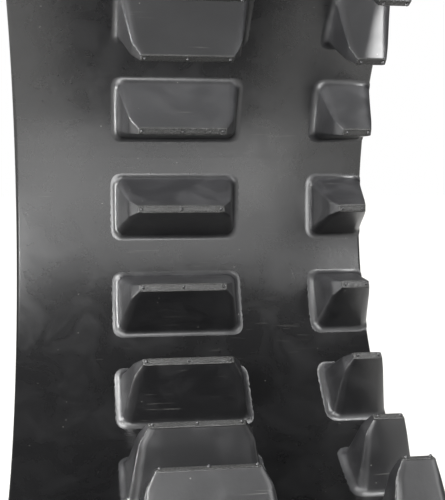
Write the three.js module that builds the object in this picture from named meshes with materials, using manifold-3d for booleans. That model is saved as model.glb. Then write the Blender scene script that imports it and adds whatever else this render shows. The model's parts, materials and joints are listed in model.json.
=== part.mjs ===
// An endless all-rubber track with internal drive lugs, for a tracked loader.
// Millimetres, +Z up. The track stands on the tread bars of its lower run, with its origin at the
// middle of that footprint. +X runs across the belt and +Y along the straight runs.
//
// Every piece is placed by two numbers: s, the distance along the neutral line (the middle of the
// tension cords) from the far end's middle, growing upwards there, and h, the height above that
// line, growing towards the inside of the loop. The belt bends at eight lines between its lugs,
// so each layer is eight pieces long, with a V-shaped gap at each line for the bending to close.

import * as THREE from 'three';
import { mergeVertices } from 'three/addons/utils/BufferGeometryUtils.js';
import { ConvexGeometry } from 'three/addons/geometries/ConvexGeometry.js';
import Module from 'manifold-3d';

const wasm = await Module();
wasm.setup();

// ---- The loop --------------------------------------------------------------------------------
const PITCH = 101.6; // from one drive lug to the next, along the cords
const TURN_PITCHES = 8; // lug pitches in each half-round end
const RUN_PITCHES = 13; // lug pitches in each straight run
const MID_LUGS = 3; // lugs on the stiff stretch in the middle of an end
const FACETS_PER_PITCH = 4; // flats that stand for the curve of one pitch

// ---- Across the belt -------------------------------------------------------------------------
const BELT_WIDTH = 340;
const DRIVE_LUG_WIDTH = 115; // foot of a drive lug, across the belt
const EDGE_LUG_WIDTH = 51; // foot of an edge lug, across the belt
const RIGHT_PATH_WIDTH = 70.5; // wheel path between the two lug strips
const LUG_MARGIN = 4; // lug strip beside a lug's foot
const EDGE_WALL = 9; // rubber that closes each side of the carcass

// ---- Through the belt ------------------------------------------------------------------------
const INNER_COVER = 7.7; // wheel paths and lug strips
const CORD_LAYER = 4; // tension cords in their rubber
const STIFFENER_PLY = 3.4; // crosswise fabric ply
const OUTER_COVER = 8; // tread rubber under the bars
const LAYER_GAP = 0.3; // between pieces that touch

// ---- Lugs ------------------------------------------------------------------------------------
const LUG_HEIGHT = 60.5;
const LUG_FOOT_LENGTH = 56.4; // along the belt
const LUG_RIDGE_LENGTH = 7; // the narrow flat on top, along the belt
const LUG_CORNER = 8; // rounded foot corners, as flats
const RIDGE_CORNER = 1.2; // rounded ridge corners, as flats
const LUG_ROOT = 3; // how far a lug reaches into its strip
const SHOULDER_DROP = 13.5; // from the ridge down to where an end face steepens
const DRIVE_SHOULDER_INSET = 9.5; // shoulder inside the foot, drive lug ends
const DRIVE_RIDGE_INSET = 17.5; // ridge end inside the foot, drive lug ends
const EDGE_INNER_SHOULDER_INSET = 5.5; // edge lug, end facing the wheel path
const EDGE_OUTER_SHOULDER_INSET = 9; // edge lug, end at the belt's edge
const EDGE_RIDGE_INSET = 12.3; // edge lug, both ends

// ---- Tread bars ------------------------------------------------------------------------------
const BAR_HEIGHT = 25;
const BAR_ROOT_LENGTH = 40; // along the belt, at its root in the outer cover
const BAR_FACE_LENGTH = 30; // along the belt, at the ground
const BAR_ROOT_INSET = 2; // bar end inside the belt edge, at its root
const BAR_FACE_INSET = 9; // bar end inside the belt edge, at the ground
const BAR_ROOT = 3; // how far a bar reaches into the outer cover

// ---- Bending lines ---------------------------------------------------------------------------
const FLEX_LIMIT = 12; // degrees that each line bends at most
const FLEX_SPARE = 1; // degrees left open at that limit
const FLEX_GAP = 0.3; // between neighbouring pieces, at the neutral line

// ---- Worked out from the sizes above ---------------------------------------------------------
const NEUTRAL_RADIUS = (TURN_PITCHES * PITCH) / Math.PI;
const RUN_LENGTH = RUN_PITCHES * PITCH;
const QUARTER = (TURN_PITCHES / 2) * PITCH; // along the neutral line, a quarter turn
const LOOP_LENGTH = 2 * (TURN_PITCHES + RUN_PITCHES) * PITCH;
const LEFT_EDGE = -BELT_WIDTH / 2;
const RIGHT_EDGE = BELT_WIDTH / 2;

const CORD_TOP = CORD_LAYER / 2;
const COVER_BOTTOM = CORD_TOP + LAYER_GAP;
const INNER_SURFACE = COVER_BOTTOM + INNER_COVER;
const PLY_TOP = -CORD_TOP - LAYER_GAP;
const PLY_BOTTOM = PLY_TOP - STIFFENER_PLY;
const TREAD_TOP = PLY_BOTTOM - LAYER_GAP;
const OUTER_SURFACE = TREAD_TOP - OUTER_COVER;
const GROUND_FACE = OUTER_SURFACE - BAR_HEIGHT;
const LOOP_MIDDLE = NEUTRAL_RADIUS - GROUND_FACE; // height of the loop's middle above the ground

const EDGE_STRIP_LEFT = RIGHT_EDGE - EDGE_LUG_WIDTH - LUG_MARGIN;
const DRIVE_STRIP_RIGHT = EDGE_STRIP_LEFT - RIGHT_PATH_WIDTH;
const DRIVE_STRIP_LEFT = DRIVE_STRIP_RIGHT - DRIVE_LUG_WIDTH - 2 * LUG_MARGIN;
const DRIVE_LUG_MIDDLE = (DRIVE_STRIP_LEFT + DRIVE_STRIP_RIGHT) / 2;
const EDGE_LUG_MIDDLE = RIGHT_EDGE - EDGE_LUG_WIDTH / 2;

const HALF_FLEX = THREE.MathUtils.degToRad((FLEX_LIMIT + FLEX_SPARE) / 2);
const SHOULDER_LUGS = (TURN_PITCHES - 1 - MID_LUGS) / 2;
const RUN_LUGS = RUN_PITCHES + 1;

// The stiff stretches between the bending lines, in the order that s grows, with their lug counts.
const STRETCHES = [
  ['far_mid', MID_LUGS],
  ['far_upper', SHOULDER_LUGS],
  ['top_run', RUN_LUGS],
  ['near_upper', SHOULDER_LUGS],
  ['near_mid', MID_LUGS],
  ['near_lower', SHOULDER_LUGS],
  ['bottom_run', RUN_LUGS],
  ['far_lower', SHOULDER_LUGS],
];

// ---- Materials -------------------------------------------------------------------------------
const rubber = (color, roughness) =>
  new THREE.MeshStandardMaterial({ color, roughness, metalness: 0 });
const MATERIALS = {
  wheel_path_rubber: rubber(0x3a3a3b, 0.46),
  lug_rubber: rubber(0x303031, 0.42),
  tread_rubber: rubber(0x2b2b2c, 0.6),
  cord_rubber: rubber(0x6b5c3c, 0.75),
  ply_fabric: rubber(0x4a4a46, 0.85),
};

const ACROSS = new THREE.Vector3(1, 0, 0);

// ---- The loop's line -------------------------------------------------------------------------

/** The point of the loop at s, h above the neutral line, with the belt's direction there. */
function loopFrame(s, h = 0) {
  const along = THREE.MathUtils.euclideanModulo(s + QUARTER, LOOP_LENGTH);
  const half = LOOP_LENGTH / 2;
  const side = along < half ? 1 : -1; // +1 on the far end and the top run
  const local = along < half ? along : along - half;
  const angle = Math.min(local / NEUTRAL_RADIUS, Math.PI) - Math.PI / 2;
  const run = Math.max(local - 2 * QUARTER, 0);
  const radius = NEUTRAL_RADIUS - h;
  const y = side * (RUN_LENGTH / 2 - run + radius * Math.cos(angle));
  const z = LOOP_MIDDLE + side * radius * Math.sin(angle);
  const tangent = new THREE.Vector3(0, -side * Math.sin(angle), side * Math.cos(angle));
  const inward = new THREE.Vector3().crossVectors(ACROSS, tangent);
  return { point: new THREE.Vector3(0, y, z), tangent, inward };
}

/** Every place along the loop where a flat starts, between two distances, with both ends. */
function stations(from, to) {
  const step = PITCH / FACETS_PER_PITCH;
  const found = [from];
  for (let i = Math.ceil(from / step); i * step < to; i += 1) {
    const s = THREE.MathUtils.euclideanModulo((i + 0.5) * step + QUARTER, LOOP_LENGTH / 2);
    const onTurn = s < 2 * QUARTER + step;
    if (onTurn && i * step - from > step / 10 && to - i * step > step / 10) found.push(i * step);
  }
  found.push(to);
  return found;
}

// ---- Solids ----------------------------------------------------------------------------------

/** A closed geometry as a solid that can be joined. */
function solid(geometry) {
  geometry.deleteAttribute('normal');
  geometry.deleteAttribute('uv');
  const merged = mergeVertices(geometry);
  return new wasm.Manifold(
    new wasm.Mesh({
      numProp: 3,
      vertProperties: merged.attributes.position.array,
      triVerts: Uint32Array.from(merged.index.array),
    }),
  );
}

/** A joined solid as a geometry with flat faces. */
function geometryOf(manifold) {
  const mesh = manifold.getMesh();
  const geometry = new THREE.BufferGeometry();
  geometry.setAttribute('position', new THREE.BufferAttribute(mesh.vertProperties, 3));
  geometry.setIndex(new THREE.BufferAttribute(mesh.triVerts, 1));
  const flat = geometry.toNonIndexed();
  flat.computeVertexNormals();
  return flat;
}

/** How far a stretch's end stands back from its bending line, at height h. */
function standBack(h) {
  return FLEX_GAP / 2 + Math.abs(h) * Math.tan(HALF_FLEX);
}

/** A band that follows the loop over one stretch, between two heights and two places across. */
function band(stretch, low, high, left, right) {
  const { from, to } = stretch;
  const surface = (h) =>
    stations(from + standBack(h), to - standBack(h)).map((s) => loopFrame(s, h).point);
  const outline = [...surface(high), ...surface(low).reverse()].map(
    (point) => new THREE.Vector2(point.y, point.z),
  );
  const geometry = new THREE.ExtrudeGeometry(new THREE.Shape(outline), {
    depth: right - left,
    bevelEnabled: false,
  });
  const swap = new THREE.Matrix4().makeBasis(
    new THREE.Vector3(0, 1, 0),
    new THREE.Vector3(0, 0, 1),
    ACROSS,
  );
  return geometry.applyMatrix4(swap).translate(left, 0, 0);
}

/** A rectangle with cut corners at one height: x from left to right, y to both sides of zero. */
function plate(left, right, length, corner, z) {
  const half = length / 2;
  const points = [];
  for (const side of [-1, 1]) {
    points.push(new THREE.Vector3(left, side * (half - corner), z));
    points.push(new THREE.Vector3(left + corner, side * half, z));
    points.push(new THREE.Vector3(right - corner, side * half, z));
    points.push(new THREE.Vector3(right, side * (half - corner), z));
  }
  return points;
}

/** One lug, with its foot at z = 0 and its ridge across the belt. */
function lug(width, shoulderInsets, ridgeInset) {
  const left = -width / 2;
  const right = width / 2;
  const [leftShoulder, rightShoulder] = shoulderInsets;
  const drop = SHOULDER_DROP / LUG_HEIGHT;
  const shoulderLength = LUG_RIDGE_LENGTH + (LUG_FOOT_LENGTH - LUG_RIDGE_LENGTH) * drop;
  const shoulderCorner = RIDGE_CORNER + (LUG_CORNER - RIDGE_CORNER) * drop;
  return new ConvexGeometry([
    ...plate(left, right, LUG_FOOT_LENGTH, LUG_CORNER, -LUG_ROOT),
    ...plate(left, right, LUG_FOOT_LENGTH, LUG_CORNER, 0),
    ...plate(
      left + leftShoulder,
      right - rightShoulder,
      shoulderLength,
      shoulderCorner,
      LUG_HEIGHT - SHOULDER_DROP,
    ),
    ...plate(left + ridgeInset, right - ridgeInset, LUG_RIDGE_LENGTH, RIDGE_CORNER, LUG_HEIGHT),
  ]);
}

/** One tread bar, rooted above z = 0 and with its ground face below. */
function treadBar() {
  const rootHalf = BAR_ROOT_LENGTH / 2;
  const faceHalf = BAR_FACE_LENGTH / 2;
  const rootEnd = RIGHT_EDGE - BAR_ROOT_INSET;
  const faceEnd = RIGHT_EDGE - BAR_FACE_INSET;
  const points = [];
  for (const x of [-1, 1]) {
    for (const y of [-1, 1]) {
      points.push(new THREE.Vector3(x * rootEnd, y * rootHalf, BAR_ROOT));
      points.push(new THREE.Vector3(x * faceEnd, y * faceHalf, -BAR_HEIGHT));
    }
  }
  return new ConvexGeometry(points);
}

/** A geometry made on a flat belt, moved to its place on the loop. */
function placed(geometry, s, h, x = 0) {
  const { point, tangent, inward } = loopFrame(s, h);
  const matrix = new THREE.Matrix4().makeBasis(ACROSS, tangent, inward);
  matrix.setPosition(point.x + x, point.y, point.z);
  return geometry.applyMatrix4(matrix);
}

// ---- Pieces of one stretch -------------------------------------------------------------------

/** A plain strip of the inner cover, for the road wheels. */
function wheelPath(stretch, left, right) {
  return band(stretch, COVER_BOTTOM, INNER_SURFACE, left, right);
}

/** A strip of the inner cover with a lug moulded on it at every pitch. */
function lugStrip(stretch, left, right, lugMiddle, makeLug) {
  let strip = solid(wheelPath(stretch, left, right));
  for (const s of stretch.lugs) {
    strip = strip.add(solid(placed(makeLug(), s, INNER_SURFACE, lugMiddle)));
  }
  return geometryOf(strip);
}

/** The outer cover with its two side walls and a bar under every lug. */
function tread(stretch) {
  const pastEnds = { from: stretch.from - PITCH / 4, to: stretch.to + PITCH / 4 };
  const pocketLeft = LEFT_EDGE + EDGE_WALL;
  const pocketRight = RIGHT_EDGE - EDGE_WALL;
  const pocket = band(pastEnds, TREAD_TOP, INNER_SURFACE, pocketLeft, pocketRight);
  let cover = solid(band(stretch, OUTER_SURFACE, CORD_TOP, LEFT_EDGE, RIGHT_EDGE));
  cover = cover.subtract(solid(pocket));
  for (const s of stretch.lugs) {
    cover = cover.add(solid(placed(treadBar(), s, OUTER_SURFACE)));
  }
  return geometryOf(cover);
}

/** A buried layer between the side walls. */
function buriedLayer(stretch, low, high) {
  const side = EDGE_WALL + LAYER_GAP;
  return band(stretch, low, high, LEFT_EDGE + side, RIGHT_EDGE - side);
}

// ---- The whole track -------------------------------------------------------------------------

const group = new THREE.Group();

function addPiece(name, geometry, material) {
  const mesh = new THREE.Mesh(geometry, MATERIALS[material]);
  mesh.name = name;
  group.add(mesh);
}

const driveShoulders = [DRIVE_SHOULDER_INSET, DRIVE_SHOULDER_INSET];
const edgeShoulders = [EDGE_INNER_SHOULDER_INSET, EDGE_OUTER_SHOULDER_INSET];
const driveLug = () => lug(DRIVE_LUG_WIDTH, driveShoulders, DRIVE_RIDGE_INSET);
const edgeLug = () => lug(EDGE_LUG_WIDTH, edgeShoulders, EDGE_RIDGE_INSET);
const halfGap = LAYER_GAP / 2;

let firstLug = -(MID_LUGS - 1) / 2;
for (const [name, lugCount] of STRETCHES) {
  const stretch = {
    from: (firstLug - 0.5) * PITCH,
    to: (firstLug + lugCount - 0.5) * PITCH,
    lugs: Array.from({ length: lugCount }, (_, i) => (firstLug + i) * PITCH),
  };
  addPiece(
    `left_wheel_path_${name}`,
    wheelPath(stretch, LEFT_EDGE, DRIVE_STRIP_LEFT - halfGap),
    'wheel_path_rubber',
  );
  addPiece(
    `drive_lug_strip_${name}`,
    lugStrip(stretch, DRIVE_STRIP_LEFT + halfGap, DRIVE_STRIP_RIGHT - halfGap, DRIVE_LUG_MIDDLE, driveLug),
    'lug_rubber',
  );
  addPiece(
    `right_wheel_path_${name}`,
    wheelPath(stretch, DRIVE_STRIP_RIGHT + halfGap, EDGE_STRIP_LEFT - halfGap),
    'wheel_path_rubber',
  );
  addPiece(
    `edge_lug_strip_${name}`,
    lugStrip(stretch, EDGE_STRIP_LEFT + halfGap, RIGHT_EDGE, EDGE_LUG_MIDDLE, edgeLug),
    'lug_rubber',
  );
  addPiece(`tension_cord_layer_${name}`, buriedLayer(stretch, -CORD_TOP, CORD_TOP), 'cord_rubber');
  addPiece(`stiffener_ply_${name}`, buriedLayer(stretch, PLY_BOTTOM, PLY_TOP), 'ply_fabric');
  addPiece(`tread_${name}`, tread(stretch), 'tread_rubber');
  firstLug += lugCount;
}

export default group;
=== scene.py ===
"""An all-rubber endless track with internal drive lugs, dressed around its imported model.

The belt is a closed loop of moulded rubber. Its inner cover carries two rows of tapered lugs, and
its outer cover carries the tread bars. Every place on it is given by three numbers: x across the
belt, s along the neutral line from the far end's middle (growing upwards there), and h, the height
above that line towards the inside of the loop. Metres throughout.
"""

import json
import logging
import math
from collections.abc import Callable
from dataclasses import dataclass, field
from enum import Enum

import bmesh
import bpy
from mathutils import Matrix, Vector

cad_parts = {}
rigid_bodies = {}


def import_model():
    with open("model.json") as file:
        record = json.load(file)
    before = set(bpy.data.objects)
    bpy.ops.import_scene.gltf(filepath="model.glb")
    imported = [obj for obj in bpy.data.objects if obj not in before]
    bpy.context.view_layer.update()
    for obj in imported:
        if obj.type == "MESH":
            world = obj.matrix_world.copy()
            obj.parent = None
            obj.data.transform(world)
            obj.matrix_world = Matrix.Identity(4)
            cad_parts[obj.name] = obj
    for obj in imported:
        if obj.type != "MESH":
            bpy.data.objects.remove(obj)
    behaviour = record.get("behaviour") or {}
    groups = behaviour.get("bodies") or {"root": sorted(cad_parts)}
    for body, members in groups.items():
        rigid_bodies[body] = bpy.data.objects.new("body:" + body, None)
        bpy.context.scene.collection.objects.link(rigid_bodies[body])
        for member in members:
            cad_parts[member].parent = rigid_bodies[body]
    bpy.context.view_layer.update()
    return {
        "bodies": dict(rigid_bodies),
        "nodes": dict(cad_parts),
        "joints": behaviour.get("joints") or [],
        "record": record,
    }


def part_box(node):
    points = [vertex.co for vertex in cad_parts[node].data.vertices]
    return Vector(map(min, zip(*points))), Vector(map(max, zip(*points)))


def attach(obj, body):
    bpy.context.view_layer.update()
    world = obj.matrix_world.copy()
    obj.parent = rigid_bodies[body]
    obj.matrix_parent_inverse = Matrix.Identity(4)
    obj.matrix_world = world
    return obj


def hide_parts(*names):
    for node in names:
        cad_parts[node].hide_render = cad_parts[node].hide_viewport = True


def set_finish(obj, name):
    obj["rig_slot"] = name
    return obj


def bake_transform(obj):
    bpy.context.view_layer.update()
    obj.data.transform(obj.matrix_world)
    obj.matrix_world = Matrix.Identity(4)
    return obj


LOG = logging.getLogger("rubber_track")
MM = 0.001
SAME = 0.01 * MM

Tree = bpy.types.NodeTree
Socket = bpy.types.NodeSocket
Piece = bpy.types.Object
Material = bpy.types.Material
Place = tuple[float, float, float]


class Slot(Enum):
    """The record's material slots."""

    WHEEL_PATH = "wheel_path_rubber"
    LUG = "lug_rubber"
    TREAD = "tread_rubber"
    CORD = "cord_rubber"
    PLY = "ply_fabric"


class Face(Enum):
    """Which surface of the belt a moulded block stands on."""

    INNER = 1
    OUTER = -1


# ---- Modelling by hand -------------------------------------------------------------------------


def deselect_everything() -> None:
    """Leaves object mode with nothing selected, so that the next operator acts on its own piece."""
    if bpy.context.object and bpy.context.object.mode != "OBJECT":
        bpy.ops.object.mode_set(mode="OBJECT")
    bpy.ops.object.select_all(action="DESELECT")


def make_active(piece: Piece) -> None:
    """Selects one piece alone and makes it the active one."""
    deselect_everything()
    piece.select_set(True)
    bpy.context.view_layer.objects.active = piece


def pick(piece: Piece, kind: str, test: Callable[[Vector, Vector], bool]) -> None:
    """Selects vertices or edges of the piece in edit mode by their place.

    Args:
        piece: the mesh object that is being edited.
        kind: "VERT" or "EDGE".
        test: takes an element's middle and its direction, which is a vertex's normal or an edge's
            line, and says whether it is selected.
    """
    bpy.ops.mesh.select_mode(type=kind)
    bpy.ops.mesh.select_all(action="DESELECT")
    mesh = bmesh.from_edit_mesh(piece.data)
    mesh.normal_update()
    chosen = []
    if kind == "VERT":
        chosen = [v for v in mesh.verts if test(v.co, v.normal)]
    else:
        for edge in mesh.edges:
            start, end = (v.co for v in edge.verts)
            if test((start + end) / 2, (end - start).normalized()):
                chosen.append(edge)
    for element in chosen:
        element.select_set(True)
    bmesh.update_edit_mesh(piece.data)


def select_all() -> None:
    """Selects the whole mesh in edit mode."""
    bpy.ops.mesh.select_all(action="SELECT")


def bevel_corners(radius: float, segments: int) -> None:
    """Rounds the selected vertices of a flat outline."""
    bpy.ops.mesh.bevel(offset=radius, segments=segments, affect="VERTICES")


def bevel_rim(piece: Piece, height: float, radius: float, segments: int) -> None:
    """Rounds a block's level edges at a height."""
    pick(piece, "EDGE", lambda place, line: abs(place.z - height) < 0.05 * MM and abs(line.z) < 0.1)
    bpy.ops.mesh.bevel(offset=radius, segments=segments, affect="EDGES")


def bisect_along(axis: int, places: list[float]) -> None:
    """Cuts the mesh in edit mode by planes square to an axis, which leaves its shape as it was."""
    for place in places:
        point = [0.0, 0.0, 0.0]
        normal = [0.0, 0.0, 0.0]
        point[axis] = place
        normal[axis] = 1.0
        select_all()
        bpy.ops.mesh.bisect(plane_co=point, plane_no=normal)


def close_up(piece: Piece, smooth_degrees: float) -> None:
    """Ends the edit of a piece: merges doubles, turns its faces outwards and shades it smooth."""
    select_all()
    bpy.ops.mesh.remove_doubles(threshold=0.002 * MM)
    bpy.ops.mesh.normals_make_consistent(inside=False)
    bpy.ops.object.mode_set(mode="OBJECT")
    make_active(piece)
    bpy.ops.object.shade_smooth_by_angle(angle=math.radians(smooth_degrees))


def weigh_normals(piece: Piece) -> None:
    """Lets the broad faces rule the shading, so that bevels stay crisp and flats look flat."""
    make_active(piece)
    modifier = piece.modifiers.new("weigh", "WEIGHTED_NORMAL")
    modifier.keep_sharp = True
    modifier.weight = 60
    bpy.ops.object.modifier_apply(modifier=modifier.name)


def copy_of(pattern: Piece, name: str) -> Piece:
    """A copy of a modelled piece under a new name, with a mesh of its own."""
    piece = pattern.copy()
    piece.data = pattern.data.copy()
    piece.name = name
    piece.data.name = name
    bpy.context.scene.collection.objects.link(piece)
    return piece


# ---- The path of the belt ----------------------------------------------------------------------


@dataclass(frozen=True)
class Hinge:
    """A line where the belt bends: its place along the loop and the bodies on its two sides."""

    name: str
    s: float
    before: str
    after: str


@dataclass
class Loop:
    """The neutral line: two straight runs and two half-round ends, worked out from the frame."""

    pitches_per_turn: int = 8
    pitches_per_run: int = 13
    far_joint_pitches: float = 1.5
    radius: float = field(init=False)
    pitch: float = field(init=False)
    middle_z: float = field(init=False)
    hinges: list[Hinge] = field(init=False)

    @classmethod
    def from_frame(cls, joints: list[dict]) -> "Loop":
        """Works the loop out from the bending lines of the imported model.

        Args:
            joints: the frame's joints. The far end's upper and lower ones stand far_joint_pitches
                above and below its middle.

        Returns:
            The loop, with its eight bending lines in order along it.
        """
        loop = cls()
        at = {j["name"]: Vector(j["pos_m"]) for j in joints}
        low, high = at["far_lower_flex"], at["far_upper_flex"]
        half_angle = math.pi / 2 * loop.far_joint_pitches / (loop.pitches_per_turn / 2)
        loop.radius = (high.z - low.z) / (2 * math.sin(half_angle))
        loop.pitch = math.pi * loop.radius / loop.pitches_per_turn
        loop.middle_z = (low.z + high.z) / 2
        loop.hinges = loop.order_hinges(joints)
        return loop

    @property
    def quarter(self) -> float:
        """The neutral line from an end's middle to the run beside it."""
        return self.pitches_per_turn / 2 * self.pitch

    @property
    def run_half(self) -> float:
        """Half of a straight run."""
        return self.pitches_per_run * self.pitch / 2

    @property
    def pitches(self) -> int:
        """Pitches all the way round."""
        return 2 * (self.pitches_per_turn + self.pitches_per_run)

    @property
    def length(self) -> float:
        """The neutral line's length all the way round."""
        return self.pitches * self.pitch

    def order_hinges(self, joints: list[dict]) -> list[Hinge]:
        """Sorts the joints along the loop and adds the bending line that has no joint."""
        found = []
        for joint in joints:
            s = self.s_of(Vector(joint["pos_m"]))
            found.append((s, joint["name"], {joint["parent"], joint["child"]}))
        found.sort(key=lambda row: row[0])
        bodies = [row[2] for row in found]
        # The one pair of neighbours that shares no body has the open line between them.
        for i in range(len(bodies) - 1):
            if not bodies[i] & bodies[i + 1]:
                pair = (bodies[i] - bodies[i - 1]) | (bodies[i + 1] - bodies[i + 2])
                mirror = self.length - found[-1][0]
                found.insert(i + 1, (mirror, "open_flex", pair))
                break
        chain = [row[2] for row in found]
        hinges = []
        for i, (s, name, pair) in enumerate(found):
            after = pair & chain[(i + 1) % len(chain)]
            before = pair - after
            hinges.append(Hinge(name, s, before.pop(), after.pop()))
        return hinges

    def s_of(self, point: Vector) -> float:
        """Where a point's foot on the neutral line lies, from 4 pitches below the far middle up."""
        z = point.z - self.middle_z
        if point.y > self.run_half:
            return self.radius * math.atan2(z, point.y - self.run_half)
        if point.y < -self.run_half:
            turn = math.atan2(z, -self.run_half - point.y)
            return 2 * self.quarter + 2 * self.run_half - self.radius * turn
        if z > 0:
            return self.quarter + self.run_half - point.y
        return 3 * self.quarter + 3 * self.run_half + point.y

    def frame_at(self, s: float) -> tuple[Vector, Vector, Vector]:
        """The point of the neutral line at s, the direction along it and the one to the inside."""
        quarter = self.quarter
        run = 2 * self.run_half
        s = (s + quarter) % self.length - quarter
        if s <= quarter:
            angle, centre_y = s / self.radius, self.run_half
        elif s < quarter + run:
            point = Vector((0, self.run_half - (s - quarter), self.middle_z + self.radius))
            return point, Vector((0, -1, 0)), Vector((0, 0, -1))
        elif s <= 3 * quarter + run:
            angle, centre_y = (s - run) / self.radius, -self.run_half
        else:
            along = s - 3 * quarter - run
            point = Vector((0, along - self.run_half, self.middle_z - self.radius))
            return point, Vector((0, 1, 0)), Vector((0, 0, 1))
        out = Vector((0, math.cos(angle), math.sin(angle)))
        point = Vector((0, centre_y, self.middle_z)) + self.radius * out
        return point, Vector((0, -math.sin(angle), math.cos(angle))), -out

    def at(self, x: float, s: float, h: float) -> Vector:
        """The point x across the belt, s along it and h above the neutral line."""
        point, _, inward = self.frame_at(s)
        return point + h * inward + Vector((x, 0, 0))

    def curved(self, s: float) -> bool:
        """Whether the belt is round at s."""
        quarter = self.quarter
        s = (s + quarter) % self.length - quarter
        return abs(s) < quarter or quarter < s - 2 * self.run_half < 3 * quarter

    def body_at(self, s: float) -> str:
        """The body that carries the belt at s."""
        start = self.hinges[0].s
        s = (s - start) % self.length + start
        passed = [hinge for hinge in self.hinges if hinge.s <= s]
        return passed[-1].after

    def lay_belt(self, piece: Piece) -> None:
        """Bends a belt piece modelled flat, with s along Y and h up, round the loop."""
        for vertex in piece.data.vertices:
            x, s, h = vertex.co
            vertex.co = self.at(x, s, h)
        piece.data.update()

    def lay_block(self, piece: Piece, s: float, face: Face, level: float, fade: float) -> None:
        """Stands a block modelled at s = 0 on the belt at s, with its foot shaped to the curve.

        Args:
            piece: the block's mesh, with Y along the belt and Z up from the surface it stands on.
            s: where its middle stands.
            face: the surface that it stands on.
            level: that surface's height from the neutral line.
            fade: the height over which the block's foot gives way to its true shape.
        """
        point, along, inward = self.frame_at(s)
        up = inward * face.value
        origin = point + level * inward
        bend = self.radius - level
        for vertex in piece.data.vertices:
            x, y, z = vertex.co
            lift = 0.0
            if self.curved(s + y):
                lift = (bend - math.sqrt(bend * bend - y * y)) * face.value
            share = min(max(z / fade, 0.0), 1.0)
            share = share * share * (3 - 2 * share)
            vertex.co = origin + along * y + up * (z + lift * (1 - share)) + Vector((x, 0, 0))
        piece.data.update()


# ---- Finishes ----------------------------------------------------------------------------------


def linear(code: str) -> tuple[float, float, float, float]:
    """Turns an sRGB hex colour into the linear values that a shader takes."""
    channels = [int(code[i : i + 2], 16) / 255 for i in (1, 3, 5)]
    values = [c / 12.92 if c <= 0.04045 else ((c + 0.055) / 1.055) ** 2.4 for c in channels]
    return (*values, 1.0)


def add_node(tree: Tree, kind: str, settings: dict | None = None, **inputs: object) -> bpy.types.Node:
    """Adds a node with its settings and links.

    Args:
        tree: the node tree that it goes in.
        kind: the node's type name.
        settings: attributes of the node, such as its blend type.
        inputs: socket values or the output sockets to link from, by socket name with _ for a
            space, or by number as input_0.

    Returns:
        The new node.
    """
    node = tree.nodes.new(kind)
    for name, value in (settings or {}).items():
        setattr(node, name, value)
    for name, value in inputs.items():
        key = int(name[6:]) if name.startswith("input_") else name.replace("_", " ")
        if isinstance(value, Socket):
            tree.links.new(value, node.inputs[key])
        else:
            node.inputs[key].default_value = value
    return node


def ramp(tree: Tree, source: Socket, low: float, high: float,
         bottom: float = 0.0, top: float = 1.0) -> Socket:
    """Maps a value smoothly from low..high to bottom..top."""
    return add_node(
        tree, "ShaderNodeMapRange", {"interpolation_type": "SMOOTHSTEP"},
        Value=source, From_Min=low, From_Max=high, To_Min=bottom, To_Max=top,
    ).outputs["Result"]


def combine(tree: Tree, operation: str, first: Socket, second: Socket) -> Socket:
    """Combines two values, by an operation such as MULTIPLY."""
    return add_node(
        tree, "ShaderNodeMath", {"operation": operation}, input_0=first, input_1=second
    ).outputs[0]


def tint(tree: Tree, share: Socket, colour: Socket | tuple, code: str) -> Socket:
    """Mixes a hex colour into a colour by a share."""
    return add_node(
        tree, "ShaderNodeMix", {"data_type": "RGBA"},
        Factor=share, input_6=colour, input_7=linear(code),
    ).outputs[2]


def per_metre(size_mm: float) -> float:
    """A noise texture's scale for features of that size."""
    return 1.0 / (size_mm * MM)


def noise(tree: Tree, place: Socket, size_mm: float, detail: float = 2.0, roughness: float = 0.5,
          distortion: float = 0.0) -> Socket:
    """Smooth noise from 0 to 1 with features of that size."""
    return add_node(
        tree, "ShaderNodeTexNoise", None, Vector=place, Scale=per_metre(size_mm),
        Detail=detail, Roughness=roughness, Distortion=distortion,
    ).outputs["Fac"]


def start_material(name: str) -> tuple[Material, Tree, bpy.types.Node]:
    """A new node material with only a Principled shader on its output."""
    material = bpy.data.materials.new(name)
    material.use_nodes = True
    tree = material.node_tree
    tree.nodes.clear()
    shader = add_node(tree, "ShaderNodeBsdfPrincipled")
    output = add_node(tree, "ShaderNodeOutputMaterial")
    tree.links.new(shader.outputs["BSDF"], output.inputs["Surface"])
    return material, tree, shader


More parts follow.
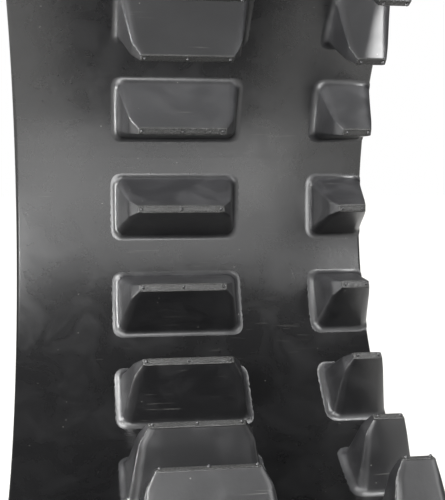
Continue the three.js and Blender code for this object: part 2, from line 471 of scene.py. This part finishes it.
@dataclass(frozen=True)
class MouldedRubber:
    """Carbon-black rubber as it leaves a steel mould: satin, slightly wavy, smudged and dusty."""

    name: str
    colour: str = "#1b1b1c"
    smudge_colour: str = "#262627"
    dust_colour: str = "#6f6e6b"
    wear_colour: str = "#222221"
    roughness: float = 0.27
    smudge_roughness: float = 0.07
    wear_roughness: float = 0.45
    refraction: float = 1.52
    specular: float = 0.5
    wear_specular: float = 0.2
    wave_mm: float = 45.0
    wave_depth_mm: float = 0.6
    pebble_mm: float = 4.5
    pebble_depth_mm: float = 0.07
    smudge_mm: float = 38.0
    dust_mm: float = 9.0
    dust_strength: float = 0.6
    scratch_mm: float = 2.2
    scratch_length_mm: float = 40.0
    scratch_patch_mm: float = 70.0
    scratch_degrees: float = 12.0
    scratch_strength: float = 0.14
    scratch_depth_mm: float = 0.05
    grit_mm: float = 2.0
    grit_depth_mm: float = 0.9

    def make(self) -> Material:
        """Builds the material.

        Returns:
            A material whose wear attribute, where a mesh has one, shows abraded rubber.
        """
        material, tree, shader = start_material(self.name)
        place = add_node(tree, "ShaderNodeTexCoord").outputs["Object"]
        smudge = self.smudges(tree, place)
        dust = self.dust(tree, place)
        scratch = self.scratches(tree, place)
        wear, grit = self.abrasion(tree, place)
        colour = tint(tree, smudge, linear(self.colour), self.smudge_colour)
        for share, code in ((scratch, self.dust_colour), (dust, self.dust_colour), (wear, self.wear_colour)):
            colour = tint(tree, share, colour, code)
        tree.links.new(colour, shader.inputs["Base Color"])
        satin = ramp(tree, smudge, 0, 1, self.roughness, self.roughness + self.smudge_roughness)
        worn = ramp(tree, wear, 0, 1, 0, self.wear_roughness)
        tree.links.new(combine(tree, "MAXIMUM", satin, worn), shader.inputs["Roughness"])
        tree.links.new(self.relief(tree, place, scratch, grit), shader.inputs["Normal"])
        shader.inputs["IOR"].default_value = self.refraction
        gloss = ramp(tree, wear, 0, 1, self.specular, self.wear_specular)
        tree.links.new(gloss, shader.inputs["Specular IOR Level"])
        return material

    def smudges(self, tree: Tree, place: Socket) -> Socket:
        """Broad uneven patches where release agent and hands dulled the surface."""
        broad = noise(tree, place, self.smudge_mm, detail=5.0, roughness=0.62, distortion=0.6)
        return ramp(tree, broad, 0.38, 0.72)

    def dust(self, tree: Tree, place: Socket) -> Socket:
        """Small specks, about 1 mm across, in some cells of a scatter only."""
        cells = add_node(tree, "ShaderNodeTexVoronoi", None, Vector=place,
                         Scale=per_metre(self.dust_mm), Randomness=1.0)
        near = ramp(tree, cells.outputs["Distance"], 0.045, 0.085, 1.0, 0.0)
        some = add_node(tree, "ShaderNodeTexWhiteNoise", {"noise_dimensions": "3D"},
                        Vector=cells.outputs["Position"])
        kept = ramp(tree, some.outputs["Value"], 0.80, 0.86, 0.0, self.dust_strength)
        return combine(tree, "MULTIPLY", near, kept)

    def scratches(self, tree: Tree, place: Socket) -> Socket:
        """Fine scuff lines, long across the belt and thin along it, in some patches only."""
        thin = per_metre(self.scratch_mm)
        stretched = add_node(tree, "ShaderNodeMapping", None, Vector=place,
                             Scale=(per_metre(self.scratch_length_mm), thin, thin),
                             Rotation=(0.0, math.radians(self.scratch_degrees), 0.0))
        lines = add_node(tree, "ShaderNodeTexNoise", None, Vector=stretched.outputs[0],
                         Scale=1.0, Detail=2.0, Roughness=0.5)
        sharp = ramp(tree, lines.outputs["Fac"], 0.66, 0.74)
        patches = noise(tree, place, self.scratch_patch_mm)
        where = ramp(tree, patches, 0.48, 0.62, 0.0, self.scratch_strength)
        return combine(tree, "MULTIPLY", sharp, where)

    def abrasion(self, tree: Tree, place: Socket) -> tuple[Socket, Socket]:
        """The share of worn colour and the grit's height, where the wear attribute says so."""
        worn = add_node(tree, "ShaderNodeAttribute", {"attribute_name": "wear"}).outputs["Fac"]
        grain = noise(tree, place, self.grit_mm, detail=3.0, roughness=0.7)
        patchy = ramp(tree, grain, 0.35, 0.65, 0.25, 1.0)
        share = combine(tree, "MULTIPLY", ramp(tree, worn, 0.25, 1.0), patchy)
        grit = combine(tree, "MULTIPLY", grain, ramp(tree, worn, 0.3, 0.9))
        return share, grit

    def relief(self, tree: Tree, place: Socket, scratch: Socket, grit: Socket) -> Socket:
        """Long waves left by the mould, a faint pebble skin, the scuffs cut in and the grit."""
        waves = noise(tree, place, self.wave_mm, detail=1.5, roughness=0.4)
        pebbles = noise(tree, place, self.pebble_mm, roughness=0.6)
        normal = None
        for height, depth_mm in (
            (waves, self.wave_depth_mm),
            (pebbles, self.pebble_depth_mm),
            (scratch, -self.scratch_depth_mm),
            (grit, self.grit_depth_mm),
        ):
            sockets = {"Height": height, "Distance": abs(depth_mm) * MM, "Strength": 1.0}
            if normal is not None:
                sockets["Normal"] = normal
            bump = add_node(tree, "ShaderNodeBump", {"invert": depth_mm < 0}, **sockets)
            normal = bump.outputs["Normal"]
        return normal


@dataclass(frozen=True)
class LayerFinish:
    """A buried layer: parallel cords or a plain weave under a skin of rubber."""

    name: str
    rubber: str
    thread: str
    thread_mm: float
    along_x: bool
    thread_depth: float = 0.3 * MM
    roughness: float = 0.7

    def make(self) -> Material:
        """Builds the material, with threads that lie across or along the belt."""
        material, tree, shader = start_material(self.name)
        place = add_node(tree, "ShaderNodeTexCoord").outputs["Object"]
        axes = {"wave_type": "BANDS", "bands_direction": "Y" if self.along_x else "X"}
        # A wave texture's bands are a twentieth of its scale's length apart.
        threads = add_node(tree, "ShaderNodeTexWave", axes, Vector=place,
                           Scale=per_metre(self.thread_mm) / 20, Distortion=0.4, Detail=1.0)
        colour = tint(tree, threads.outputs["Fac"], linear(self.rubber), self.thread)
        tree.links.new(colour, shader.inputs["Base Color"])
        bump = add_node(tree, "ShaderNodeBump", None, Height=threads.outputs["Fac"],
                        Distance=self.thread_depth, Strength=1.0)
        tree.links.new(bump.outputs["Normal"], shader.inputs["Normal"])
        shader.inputs["Roughness"].default_value = self.roughness
        return material


# ---- Covers ------------------------------------------------------------------------------------


@dataclass(frozen=True)
class Span:
    """One stretch of a cover, from one seam to the next, and how it follows the bodies."""

    start: float
    end: float
    hinge: Hinge | None
    body: str
    open_start: bool = False
    open_end: bool = False


@dataclass
class Cover:
    """A moulded cover of the belt, made in spans that meet between the lugs."""

    name: str
    loop: Loop
    material: Material
    slot: Slot
    width: float
    low: float
    high: float
    rounded: float
    stations_per_pitch: int = 16
    bend_half: float = 16 * MM
    shading_degrees: float = 35.0
    knuckle: float = 14 * MM
    knuckle_bands: int = 8
    open_gap: float = 0.8 * MM
    hollow_depth: float = 17 * MM
    hollow_tip: float = 2 * MM
    hollow_tip_band: float = 0.2 * MM
    drawn_together: float = 20.0
    swing_degrees: float = 13.0

    @property
    def swing(self) -> float:
        """How far the nose's root swings to the buried layers, a degree past the belt's limit."""
        return self.knuckle * math.tan(math.radians(self.swing_degrees))

    def section(self) -> Piece:
        """Draws the cover's section, standing upright at s = 0.

        Returns:
            The new object, still in edit mode, with its section selected.
        """
        deselect_everything()
        bpy.ops.mesh.primitive_plane_add(size=1, rotation=(math.pi / 2, 0, 0))
        piece = bpy.context.active_object
        bpy.ops.object.transform_apply(location=False, rotation=True, scale=False)
        bpy.ops.object.mode_set(mode="EDIT")
        select_all()
        bpy.ops.transform.resize(value=(self.width, 1, self.high - self.low), center_override=(0, 0, 0))
        bpy.ops.transform.translate(value=(0, 0, (self.high + self.low) / 2))
        self.round_corners(piece)
        select_all()
        return piece

    def round_corners(self, piece: Piece) -> None:
        """Rounds the section's two upper corners, at the belt's inner surface."""
        edge = self.width / 2 - self.rounded
        pick(piece, "VERT", lambda place, _: place.z > self.high - MM and abs(place.x) > edge)
        bevel_corners(self.rounded, 5)

    def make_span(self, span: Span, number: int) -> Piece:
        """Models one span flat, then bends it round the loop.

        Args:
            span: where it starts and ends, in metres along the neutral line.
            number: its place in the order of spans.

        Returns:
            The finished piece, dressed, and tied to its one body when no hinge lies inside it.
        """
        piece = self.section()
        length = span.end - span.start
        bpy.ops.transform.translate(value=(0, span.start, 0))
        bpy.ops.mesh.extrude_region_move(TRANSFORM_OT_translate={"value": (0, length, 0)})
        pick(piece, "EDGE", lambda _, line: abs(line.y) > 0.999)
        stations = round(length / self.loop.pitch * self.stations_per_pitch)
        bpy.ops.mesh.subdivide(number_cuts=stations - 1)
        if span.open_start or span.open_end:
            self.shape_open_end(piece, span)
        close_up(piece, self.shading_degrees)
        piece.name = f"{self.name}_{number}"
        self.loop.lay_belt(piece)
        piece.data.materials.append(self.material)
        self.tie(piece, span)
        return piece

    def shape_open_end(self, piece: Piece, span: Span) -> None:
        """Gives the end at the open bending line a round nose, or the hollow that takes it.

        Both covers share one radius about the neutral line, so the belt stays closed when it bends.
        The stations that the hollow reaches are drawn together behind it.
        """
        thick = self.high - self.low
        bisect_along(2, [self.low + thick * i / self.knuckle_bands for i in range(1, self.knuckle_bands)])
        edge = span.start if span.open_start else span.end
        mesh = bmesh.from_edit_mesh(piece.data)
        for vertex in mesh.verts:
            behind = edge - vertex.co.y
            if span.open_end and SAME < behind < self.hollow_depth:
                vertex.co.y = edge - self.hollow_depth - behind / self.drawn_together
            if abs(behind) > SAME:
                continue
            if span.open_start:
                vertex.co.z = self.clear_layers(vertex.co.z)
            arm = math.sqrt(max(self.knuckle**2 - vertex.co.z * vertex.co.z, 0.0))
            vertex.co.y -= arm if span.open_start else arm + self.open_gap
            if span.open_end and abs(vertex.co.z) > self.knuckle - self.hollow_tip_band:
                vertex.co.y -= self.hollow_tip
        bmesh.update_edit_mesh(piece.data)

    def clear_layers(self, height: float) -> float:
        """Lifts the nose's underside off the buried layers, which it swings towards."""
        return height + (self.high - height) / (self.high - self.low) * self.swing

    def tie(self, piece: Piece, span: Span) -> None:
        """Gives the piece its slot and lets it ride on its one body; a piece with a hinge only has its
        transform baked.
        """
        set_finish(piece, self.slot.value)
        if span.hinge is None:
            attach(piece, span.body)
            return
        point, along, _ = self.loop.frame_at(span.hinge.s)
        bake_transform(piece)


@dataclass
class OuterCover(Cover):
    """The cover on the ground side, with two side walls that close the carcass."""

    wall: float = 9 * MM
    floor: float = 8 * MM

    def round_corners(self, piece: Piece) -> None:
        """Turns the plain section into a channel and rounds its two lower corners."""
        inside = self.width / 2 - self.wall
        select_all()
        bpy.ops.transform.resize(
            value=(1, 1, self.floor / (self.high - self.low)), center_override=(0, 0, self.low)
        )
        bisect_along(0, [-inside, inside])
        level = self.low + self.floor
        pick(piece, "EDGE", lambda place, line: place.z > level - MM / 10 and abs(place.x) > inside
             and abs(line.x) > 0.9)
        rise = self.high - level
        bpy.ops.mesh.extrude_region_move(TRANSFORM_OT_translate={"value": (0, 0, rise)})
        edge = self.width / 2 - self.rounded
        pick(piece, "VERT", lambda place, _: place.z < self.low + MM and abs(place.x) > edge)
        bevel_corners(self.rounded, 5)

    def clear_layers(self, height: float) -> float:
        """Lowers the top of the nose's floor away from the buried layers, and leaves the walls."""
        rise = height - self.low
        if rise > self.floor + SAME:
            return height
        return height - rise / self.floor * self.swing


# ---- Blocks moulded on the belt ----------------------------------------------------------------


@dataclass(frozen=True)
class Ring:
    """One level of a tapered block: its height, its two ends across and its half length along."""

    height: float
    left: float
    right: float
    half: float


@dataclass(frozen=True)
class Wall:
    """One sloping side of a block, with the concave fillet at its foot."""

    slope: float
    fillet: float

    def foot_reach(self) -> float:
        """How far outside the foot line the fillet ends on the belt."""
        lean = math.atan(self.slope)
        return self.fillet * math.tan((math.pi / 2 - lean) / 2)

    def outward(self, height: float) -> float:
        """How far outside the foot line the side stands at a height, which is negative above."""
        reach = self.foot_reach()
        lean = math.atan(self.slope)
        tangent = self.fillet * (1 - math.sin(lean))
        if self.fillet > 0 and height < tangent:
            drop = self.fillet - height
            return reach - math.sqrt(max(self.fillet**2 - drop**2, 0.0))
        return -height * self.slope


def stack_rings(name: str, rings: list[Ring], corner: float) -> Piece:
    """Raises a block from its lowest outline, one extruded and resized level after another.

    Args:
        name: the new object's name.
        rings: its levels from the bottom up.
        corner: the radius of the outline's corners.

    Returns:
        The block, in edit mode.
    """
    deselect_everything()
    first = rings[0]
    middle = ((first.left + first.right) / 2, 0, first.height)
    bpy.ops.mesh.primitive_plane_add(size=1, location=(0, 0, 0))
    piece = bpy.context.active_object
    piece.name = name
    bpy.ops.object.mode_set(mode="EDIT")
    select_all()
    bpy.ops.transform.resize(
        value=(first.right - first.left, 2 * first.half, 1), center_override=(0, 0, 0)
    )
    bpy.ops.transform.translate(value=middle)
    bpy.ops.mesh.select_mode(type="VERT")
    select_all()
    bevel_corners(corner, 6)
    bpy.ops.mesh.select_mode(type="FACE")
    select_all()
    for below, ring in zip(rings, rings[1:]):
        shift = (ring.left + ring.right - below.left - below.right) / 2
        rise = ring.height - below.height
        bpy.ops.mesh.extrude_region_move(TRANSFORM_OT_translate={"value": (shift, 0, rise)})
        across = (ring.right - ring.left) / (below.right - below.left)
        scale = (across, ring.half / below.half, 1)
        centre = ((ring.left + ring.right) / 2, 0, ring.height)
        bpy.ops.transform.resize(value=scale, center_override=centre)
    return piece


def mark_wear(piece: Piece, top: float, bands: tuple[tuple[float, float], ...]) -> None:
    """Writes how far each vertex of a block is worn, by its depth below the block's top.

    Args:
        piece: the block.
        top: the height of its ridge or face.
        bands: from the top down, the millimetres below it where a band ends and the band's wear.
    """
    wear = piece.data.attributes.new("wear", "FLOAT", "POINT")
    for index, vertex in enumerate(piece.data.vertices):
        below = (top - vertex.co.z) / MM
        wear.data[index].value = next((share for end, share in bands if below < end), 0.0)


@dataclass
class Lug:
    """A hipped lug: long faces that meet the sprocket and wheels, sloping ends and a narrow ridge."""

    name: str
    material: Material
    left: float
    right: float
    left_shoulder: float
    right_shoulder: float
    left_ridge: float
    right_ridge: float
    pip_places: tuple[float, ...]
    at_belt_edge: bool = False
    half: float = 28.2 * MM
    height: float = 60.5 * MM
    ridge_half: float = 3.5 * MM
    shoulder_drop: float = 13.5 * MM
    neck_drop: float = 3 * MM
    flange: float = 3 * MM
    corner: float = 10 * MM
    fillet: float = 6.5 * MM
    levels_mm: tuple[float, ...] = (0.0, 0.15, 0.6, 1.4, 2.6, 4.2, 7.0, 20.0)
    steps_mm: tuple[float, ...] = (-24, -16, -8, 0, 8, 16, 24)
    ridge_bevel: float = 1.1 * MM
    shoulder_bevel: float = 3.5 * MM
    smooth_degrees: float = 50.0
    pip_radius: float = 1.5 * MM
    pip_rise: float = 0.1 * MM
    pip_point: float = 0.25 * MM
    sunk_mm: tuple[float, ...] = (5.0, 0.12)
    wear: tuple[tuple[float, float], ...] = ((-0.1, 0.0), (0.6, 1.0), (1.6, 0.45))

    def rings(self) -> list[Ring]:
        """The lug's levels, from the flange sunk in the belt up to the ridge."""
        shoulder = self.height - self.shoulder_drop
        long_side = Wall((self.half - self.ridge_half) / self.height, self.fillet)
        left_end = Wall(self.left_shoulder / shoulder, self.fillet)
        right_end = Wall(self.right_shoulder / shoulder, 0.0 if self.at_belt_edge else self.fillet)
        right_flange = 0.0 if self.at_belt_edge else self.flange
        rings = [
            Ring(-depth * MM, self.left - left_end.foot_reach() - self.flange,
                 self.right + right_end.foot_reach() + right_flange,
                 self.half + long_side.foot_reach() + self.flange)
            for depth in self.sunk_mm
        ]
        for height in [level * MM for level in self.levels_mm]:
            rings.append(Ring(height, self.left - left_end.outward(height),
                              self.right + right_end.outward(height),
                              self.half + long_side.outward(height)))
        slope = long_side.slope
        neck = self.height - self.neck_drop
        for height, share in ((shoulder, 0.0), (neck, 1 - self.neck_drop / self.shoulder_drop),
                              (self.height, 1.0)):
            left_in = self.left_shoulder + (self.left_ridge - self.left_shoulder) * share
            right_in = self.right_shoulder + (self.right_ridge - self.right_shoulder) * share
            rings.append(Ring(height, self.left + left_in, self.right - right_in,
                              self.half - height * slope))
        return rings

    def make(self) -> Piece:
        """Models the lug once, at s = 0 with its foot at Z = 0, as the pattern to copy."""
        piece = stack_rings(self.name, self.rings(), self.corner)
        bevel_rim(piece, self.height, self.ridge_bevel, 3)
        bevel_rim(piece, self.height - self.shoulder_drop, self.shoulder_bevel, 3)
        bisect_along(1, [step * MM for step in self.steps_mm])
        close_up(piece, self.smooth_degrees)
        self.add_pips(piece)
        mark_wear(piece, self.height, self.wear)
        weigh_normals(piece)
        piece.data.materials.append(self.material)
        return piece

    def add_pips(self, piece: Piece) -> None:
        """Joins the small rubber pips that the mould's vents leave along the ridge."""
        pips = []
        for x in self.pip_places:
            deselect_everything()
            bpy.ops.mesh.primitive_uv_sphere_add(
                segments=14, ring_count=8, radius=self.pip_radius,
                location=(x, 0, self.height + self.pip_rise),
            )
            pip = bpy.context.active_object
            bpy.ops.object.mode_set(mode="EDIT")
            pick(pip, "VERT", lambda place, _: place.z > self.pip_radius * 0.75)
            bpy.ops.transform.translate(value=(0, 0, self.pip_point))
            bpy.ops.object.mode_set(mode="OBJECT")
            bpy.ops.object.transform_apply(location=True, rotation=False, scale=False)
            bpy.ops.object.shade_smooth()
            pips.append(pip)
        deselect_everything()
        for pip in pips:
            pip.select_set(True)
        piece.select_set(True)
        bpy.context.view_layer.objects.active = piece
        bpy.ops.object.join()


@dataclass
class TreadBar:
    """A straight bar across the outer cover, which grips the ground."""

    material: Material
    width: float
    height: float
    root_half: float
    face_half: float
    root_inset: float
    face_inset: float
    fillet: float = 5 * MM
    corner: float = 7 * MM
    flange: float = 2 * MM
    levels_mm: tuple[float, ...] = (0.0, 0.3, 1.0, 2.2, 3.8, 8.0, 16.0)
    steps_mm: tuple[float, ...] = (-18, -12, -6, 0, 6, 12, 18)
    sunk_mm: tuple[float, ...] = (3.0, 0.12)
    face_bevel: float = 2.2 * MM
    smooth_degrees: float = 45.0
    wear: tuple[tuple[float, float], ...] = ((0.3, 0.5), (2.4, 0.35))
    name: str = "tread_bar"

    def make(self) -> Piece:
        """Models the bar once, at s = 0, standing on the cover at Z = 0, as the pattern to copy."""
        side = Wall((self.root_half - self.face_half) / self.height, self.fillet)
        end = Wall((self.face_inset - self.root_inset) / self.height, 0.0)
        half_width = self.width / 2 - self.root_inset
        sunk_half = self.root_half + side.foot_reach() + self.flange
        rings = [Ring(-depth * MM, -half_width, half_width, sunk_half) for depth in self.sunk_mm]
        for height in (*(level * MM for level in self.levels_mm), self.height):
            across = half_width + end.outward(height)
            rings.append(Ring(height, -across, across, self.root_half + side.outward(height)))
        piece = stack_rings(self.name, rings, self.corner)
        bevel_rim(piece, self.height, self.face_bevel, 4)
        bisect_along(1, [step * MM for step in self.steps_mm])
        close_up(piece, self.smooth_degrees)
        mark_wear(piece, self.height, self.wear)
        weigh_normals(piece)
        piece.data.materials.append(self.material)
        return piece


# ---- The track ---------------------------------------------------------------------------------


@dataclass
class Track:
    """The whole belt: covers, lugs and bars on their bodies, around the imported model's layers."""

    frame: dict
    loop: Loop = field(init=False)
    width: float = field(init=False)
    cover_low: float = field(init=False)
    inner_level: float = field(init=False)
    outer_level: float = field(init=False)
    bar_height: float = 25 * MM
    lug_margin: float = 4 * MM
    seam_pitches: tuple[float, ...] = (-10.5, -2.5, 0.5, 2.5, 10.5, 17.5, 18.5, 20.5, 23.5, 31.5)
    parting: float = 2 * MM

    def __post_init__(self) -> None:
        """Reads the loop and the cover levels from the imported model."""
        self.loop = Loop.from_frame(self.frame["joints"])
        low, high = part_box("left_wheel_path_bottom_run")
        neutral = self.loop.middle_z - self.loop.radius
        self.inner_level = high.z - neutral
        self.cover_low = low.z - neutral
        tread_low, tread_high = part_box("tread_bottom_run")
        self.width = tread_high.x - tread_low.x
        self.outer_level = tread_low.z + self.bar_height - neutral

    def spans(self) -> list[Span]:
        """The stretches between the seams, each with the one bending line inside it, if any."""
        pitch = self.loop.pitch
        at_open = next(hinge.s for hinge in self.loop.hinges if hinge.name == "open_flex")
        spans = []
        for start, end in zip(self.seam_pitches, self.seam_pitches[1:]):
            low, high = start * pitch, end * pitch
            inside = [
                hinge for hinge in self.loop.hinges
                if any(low + MM < hinge.s + turn * self.loop.length < high - MM for turn in (-1, 0, 1))
            ]
            body = self.loop.body_at((low + high) / 2)
            spans.append(Span(low, high, inside[0] if inside else None, body,
                              open_start=abs(low - at_open) < MM, open_end=abs(high - at_open) < MM))
        return spans

    def lug_bodies(self) -> dict[int, str]:
        """The body that carries each lug and bar, by its number from the far end's middle."""
        return {k: self.loop.body_at(k * self.loop.pitch) for k in range(-1, self.loop.pitches - 1)}

    def build_covers(self, inner: Material, outer: Material) -> None:
        """Makes the inner and outer covers in their spans."""
        covers = [
            Cover("inner_cover", self.loop, inner, Slot.WHEEL_PATH, self.width,
                  self.cover_low, self.inner_level, rounded=3.5 * MM),
            OuterCover("outer_cover", self.loop, outer, Slot.TREAD, self.width,
                       self.outer_level, self.parting, rounded=5 * MM),
        ]
        stands_for = {"inner_cover": ("left_wheel_path", "right_wheel_path"), "outer_cover": ("tread",)}
        for cover in covers:
            replaced: set[str] = set()
            for number, span in enumerate(self.spans()):
                piece = cover.make_span(span, number)
                bodies = [span.hinge.before, span.hinge.after] if span.hinge else [span.body]
                nodes = [f"{kind}_{body}" for body in bodies for kind in stands_for[cover.name]]
                nodes = [node for node in nodes if node not in replaced]
                replaced.update(nodes)
                if nodes:
                    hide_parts(*nodes)
                LOG.info("%s: %s", piece.name, ", ".join(bodies))

    def build_lugs(self, material: Material) -> None:
        """Makes both rows of lugs."""
        left, right = self.lug_foot("drive_lug_strip_bottom_run", self.lug_margin, self.lug_margin)
        middle = (left + right) / 2
        drive = Lug(
            "drive_lug", material, left, right,
            left_shoulder=9.5 * MM, right_shoulder=9.5 * MM,
            left_ridge=17.5 * MM, right_ridge=17.5 * MM,
            pip_places=(middle - 36.8 * MM, middle, middle + 36.8 * MM),
        )
        left, right = self.lug_foot("edge_lug_strip_bottom_run", self.lug_margin, 0.1 * MM)
        edge = Lug(
            "edge_lug", material, left, right,
            left_shoulder=5.5 * MM, right_shoulder=9.0 * MM,
            left_ridge=12.3 * MM, right_ridge=12.3 * MM,
            pip_places=(left + 16.2 * MM, left + 35.7 * MM), at_belt_edge=True,
        )
        for lug in (drive, edge):
            self.stand_copies(lug.make(), lug.name, f"{lug.name}_strip", Slot.LUG,
                              Face.INNER, self.inner_level, fade=25 * MM)

    def lug_foot(self, node: str, left_margin: float, right_margin: float) -> tuple[float, float]:
        """The two ends of a lug row's feet across the belt, inside its strip."""
        low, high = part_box(node)
        return low.x + left_margin, high.x - right_margin

    def build_bars(self, material: Material) -> None:
        """Makes the tread bars, one under each drive lug."""
        bar = TreadBar(material, self.width, self.bar_height, root_half=20 * MM, face_half=15 * MM,
                       root_inset=2 * MM, face_inset=9 * MM)
        self.stand_copies(bar.make(), bar.name, "tread", Slot.TREAD,
                          Face.OUTER, self.outer_level, fade=15 * MM)

    def stand_copies(self, pattern: Piece, name: str, node: str, slot: Slot, face: Face,
                     level: float, fade: float) -> None:
        """Copies a modelled block to every pitch, on the body that carries the belt there.

        Args:
            pattern: the block modelled at s = 0.
            name: the copies' name, which gets each one's number.
            node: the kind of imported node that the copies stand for.
            slot: the record's slot for their finish.
            face: the surface that they stand on.
            level: that surface's height above the neutral line.
            fade: the height over which a copy's foot follows the curve.
        """
        for number, body in self.lug_bodies().items():
            piece = copy_of(pattern, f"{name}_{number % self.loop.pitches:02d}")
            self.loop.lay_block(piece, number * self.loop.pitch, face, level, fade)
            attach(piece, body)
            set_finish(piece, slot.value)
            if node != "tread":
                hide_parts(f"{node}_{body}")
        bpy.data.objects.remove(pattern)
        LOG.info("%s: %d copies", name, len(self.lug_bodies()))

    def dress_layers(self, cord: Material, ply: Material) -> None:
        """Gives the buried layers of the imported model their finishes."""
        for name, node in self.frame["nodes"].items():
            for kind, material in (("tension_cord_layer", cord), ("stiffener_ply", ply)):
                if name.startswith(kind):
                    node.data.materials.clear()
                    node.data.materials.append(material)


# ---- Studio ------------------------------------------------------------------------------------


class Takers(Enum):
    """What a panel's light falls on."""

    ALL = "everything"
    BELT = "everything but the lugs"
    LUGS = "the lugs alone, and through the rest of the belt"


@dataclass(frozen=True)
class Panel:
    """A rectangular soft light, with its width and height, its watts, its place and its aim."""

    name: str
    size: tuple[float, float]
    watts: float
    place: Place
    target: Place
    takers: Takers = Takers.ALL


PANELS = (
    Panel("inner_panel", (0.56, 0.42), 2.3, (-0.03, 0.40, 0.27), (-0.04, 0.88, 0.42), Takers.BELT),
    Panel("left_key", (0.08, 0.26), 3.0, (-0.42, 0.34, 0.40), (0.0, 0.88, 0.30)),
    Panel("lug_top", (0.9, 0.5), 62.0, (-0.05, 0.40, 1.0), (-0.05, 0.74, 0.50), Takers.LUGS),
    Panel("lug_front", (0.7, 0.7), 28.0, (-0.25, -0.35, 0.10), (-0.05, 0.75, 0.15), Takers.LUGS),
    Panel("lug_edge", (0.06, 1.0), 16.0, (-0.60, 0.86, 0.45), (0.0, 0.84, 0.30), Takers.LUGS),
    Panel("left_fill", (1.6, 1.2), 25.0, (-2.4, -1.2, 1.3), (0, 0, 0.3)),
    Panel("right_fill", (1.6, 1.2), 45.0, (2.2, -2.0, 1.5), (0, 0, 0.3)),
)


@dataclass
class Studio:
    """A plain pale floor, soft light and the camera inside the near half of the loop."""

    camera_place: Place = (-0.1094, -0.0176, 0.3331)
    camera_turn: float = 0.150
    camera_pitch: float = -0.084
    lens_mm: float = 67.95
    ambient: float = 0.16
    sun_strength: float = 3.6
    sun_degrees: float = 12.0
    floor_size: float = 24.0
    floor_level: float = -0.5 * MM

    def build(self) -> None:
        """Sets up the whole studio."""
        self.place_camera()
        self.lay_floor()
        self.light_world()
        self.hang_lights()
        bpy.context.scene.view_settings.view_transform = "Standard"

    def place_camera(self) -> None:
        """Looks along the belt's inside at the far end."""
        data = bpy.data.cameras.new("camera")
        data.lens = self.lens_mm
        data.sensor_width = 36.0
        data.clip_start = 0.01
        camera = bpy.data.objects.new("camera", data)
        camera.location = self.camera_place
        camera.rotation_euler = (math.pi / 2 + self.camera_pitch, 0, -self.camera_turn)
        bpy.context.scene.collection.objects.link(camera)
        bpy.context.scene.camera = camera

    def lay_floor(self) -> None:
        """A wide pale floor just under the tread bars."""
        deselect_everything()
        bpy.ops.mesh.primitive_plane_add(size=self.floor_size, location=(0, 0, self.floor_level))
        floor = bpy.context.active_object
        floor.name = "floor"
        material, _, shader = start_material("pale_floor")
        shader.inputs["Base Color"].default_value = linear("#f3f2ef")
        shader.inputs["Roughness"].default_value = 0.9
        floor.data.materials.append(material)
        floor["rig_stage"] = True

    def light_world(self) -> None:
        """A white surround, seen white and lighting the object more dimly."""
        world = bpy.data.worlds.new("surround")
        world.use_nodes = True
        bpy.context.scene.world = world
        tree = world.node_tree
        tree.nodes.clear()
        white = linear("#ffffff")
        seen = add_node(tree, "ShaderNodeBackground", None, Color=white, Strength=1.0)
        lit = add_node(tree, "ShaderNodeBackground", None, Color=white, Strength=self.ambient)
        path = add_node(tree, "ShaderNodeLightPath")
        mix = add_node(tree, "ShaderNodeMixShader", None, input_0=path.outputs["Is Camera Ray"],
                       input_1=lit.outputs[0], input_2=seen.outputs[0])
        output = add_node(tree, "ShaderNodeOutputWorld")
        tree.links.new(mix.outputs[0], output.inputs["Surface"])

    def hang_lights(self) -> None:
        """The overhead light, which only the belt's outside takes, and the panels."""
        sun = bpy.data.lights.new("overhead", "SUN")
        sun.energy = self.sun_strength
        sun.angle = math.radians(self.sun_degrees)
        lamp = self.place_light(sun, (0, 0, 3), (0, 0, 0))
        lamp.light_linking.receiver_collection = self.group("outside", (Slot.TREAD,))
        for panel in PANELS:
            self.hang_panel(panel)

    def hang_panel(self, panel: Panel) -> None:
        """Hangs one panel and keeps its light to the pieces that take it."""
        light = bpy.data.lights.new(panel.name, "AREA")
        light.shape = "RECTANGLE"
        light.size, light.size_y = panel.size
        light.energy = panel.watts
        linking = self.place_light(light, panel.place, panel.target).light_linking
        if panel.takers is Takers.BELT:
            slots = tuple(slot for slot in Slot if slot != Slot.LUG)
            linking.receiver_collection = self.group("belt", slots)
        elif panel.takers is Takers.LUGS:
            takers = self.group(f"{panel.name}_takers", (Slot.LUG,), with_floor=False)
            linking.receiver_collection = takers
            linking.blocker_collection = self.group(f"{panel.name}_blockers", ())

    def group(self, name: str, slots: tuple[Slot, ...], with_floor: bool = True) -> bpy.types.Collection:
        """A collection of the pieces of some slots, and maybe the floor, for one light's own use."""
        group = bpy.data.collections.new(name)
        wanted = [slot.value for slot in slots]
        for piece in bpy.data.objects:
            if piece.get("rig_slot") in wanted or (with_floor and piece.get("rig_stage")):
                group.objects.link(piece)
        return group

    def place_light(self, light: bpy.types.Light, place: Place, target: Place) -> Piece:
        """Hangs a light, aimed at a point and out of the camera's sight, and returns its lamp."""
        lamp = bpy.data.objects.new(light.name, light)
        lamp.location = place
        aim = Vector(target) - Vector(place)
        lamp.rotation_euler = aim.to_track_quat("-Z", "Y").to_euler()
        lamp.visible_camera = False
        bpy.context.scene.collection.objects.link(lamp)
        return lamp


def main() -> None:
    """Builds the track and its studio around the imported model."""
    logging.basicConfig(level=logging.INFO, format="%(name)s: %(message)s")
    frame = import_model()
    inner = MouldedRubber("moulded_belt_rubber", colour="#141415", smudge_colour="#1d1d1e").make()
    lugs = MouldedRubber("moulded_lug_rubber", colour="#0d0d0e", smudge_colour="#151516",
                         roughness=0.32).make()
    outer = MouldedRubber("tread_rubber", colour="#202021", roughness=0.5, pebble_depth_mm=0.08).make()
    cord = LayerFinish("rubberised_cord", "#2a2622", "#7a5c33", 2.4, along_x=False).make()
    ply = LayerFinish("rubberised_weave", "#2b2b29", "#55534c", 1.6, along_x=True).make()
    track = Track(frame)
    track.build_covers(inner, outer)
    track.build_lugs(lugs)
    track.build_bars(outer)
    track.dress_layers(cord, ply)
    Studio().build()


if __name__ == "__main__":
    main()
